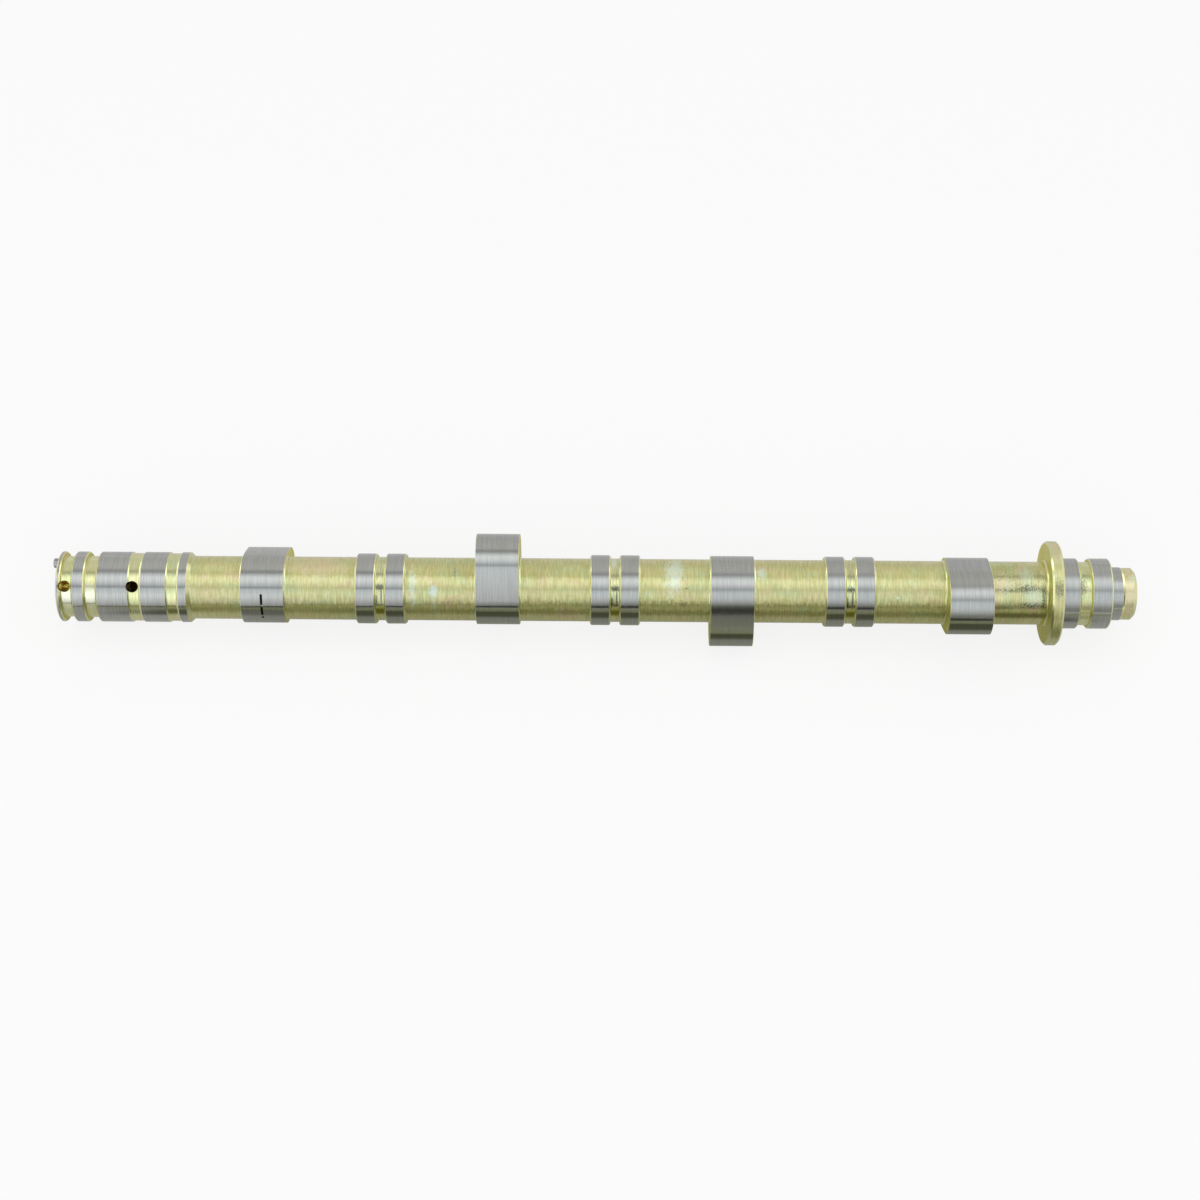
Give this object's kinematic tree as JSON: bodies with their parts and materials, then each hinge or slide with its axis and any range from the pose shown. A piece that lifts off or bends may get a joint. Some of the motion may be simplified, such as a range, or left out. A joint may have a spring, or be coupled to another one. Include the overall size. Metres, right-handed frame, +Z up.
{
  "type": "camshaft",
  "caption": "Engine camshaft with ground cam lobes, grooved bearing journals, a thrust flange and a dowel pin in its drive end.",
  "frame": {"origin": "middle of the drive-end face, on the shaft's axis", "axes": "+X runs along the shaft from its drive end to its rear end; +Z is up as the shaft lies on a table, on two lobes and the thrust flange"},
  "size_m": [0.4356, 0.042, 0.042],
  "materials": {
    "plated_steel": "satin",
    "pin_steel": "satin"
  },
  "bodies": {
    "root": {"camshaft": "plated_steel", "dowel_pin": "pin_steel"}
  },
  "joints": []
}
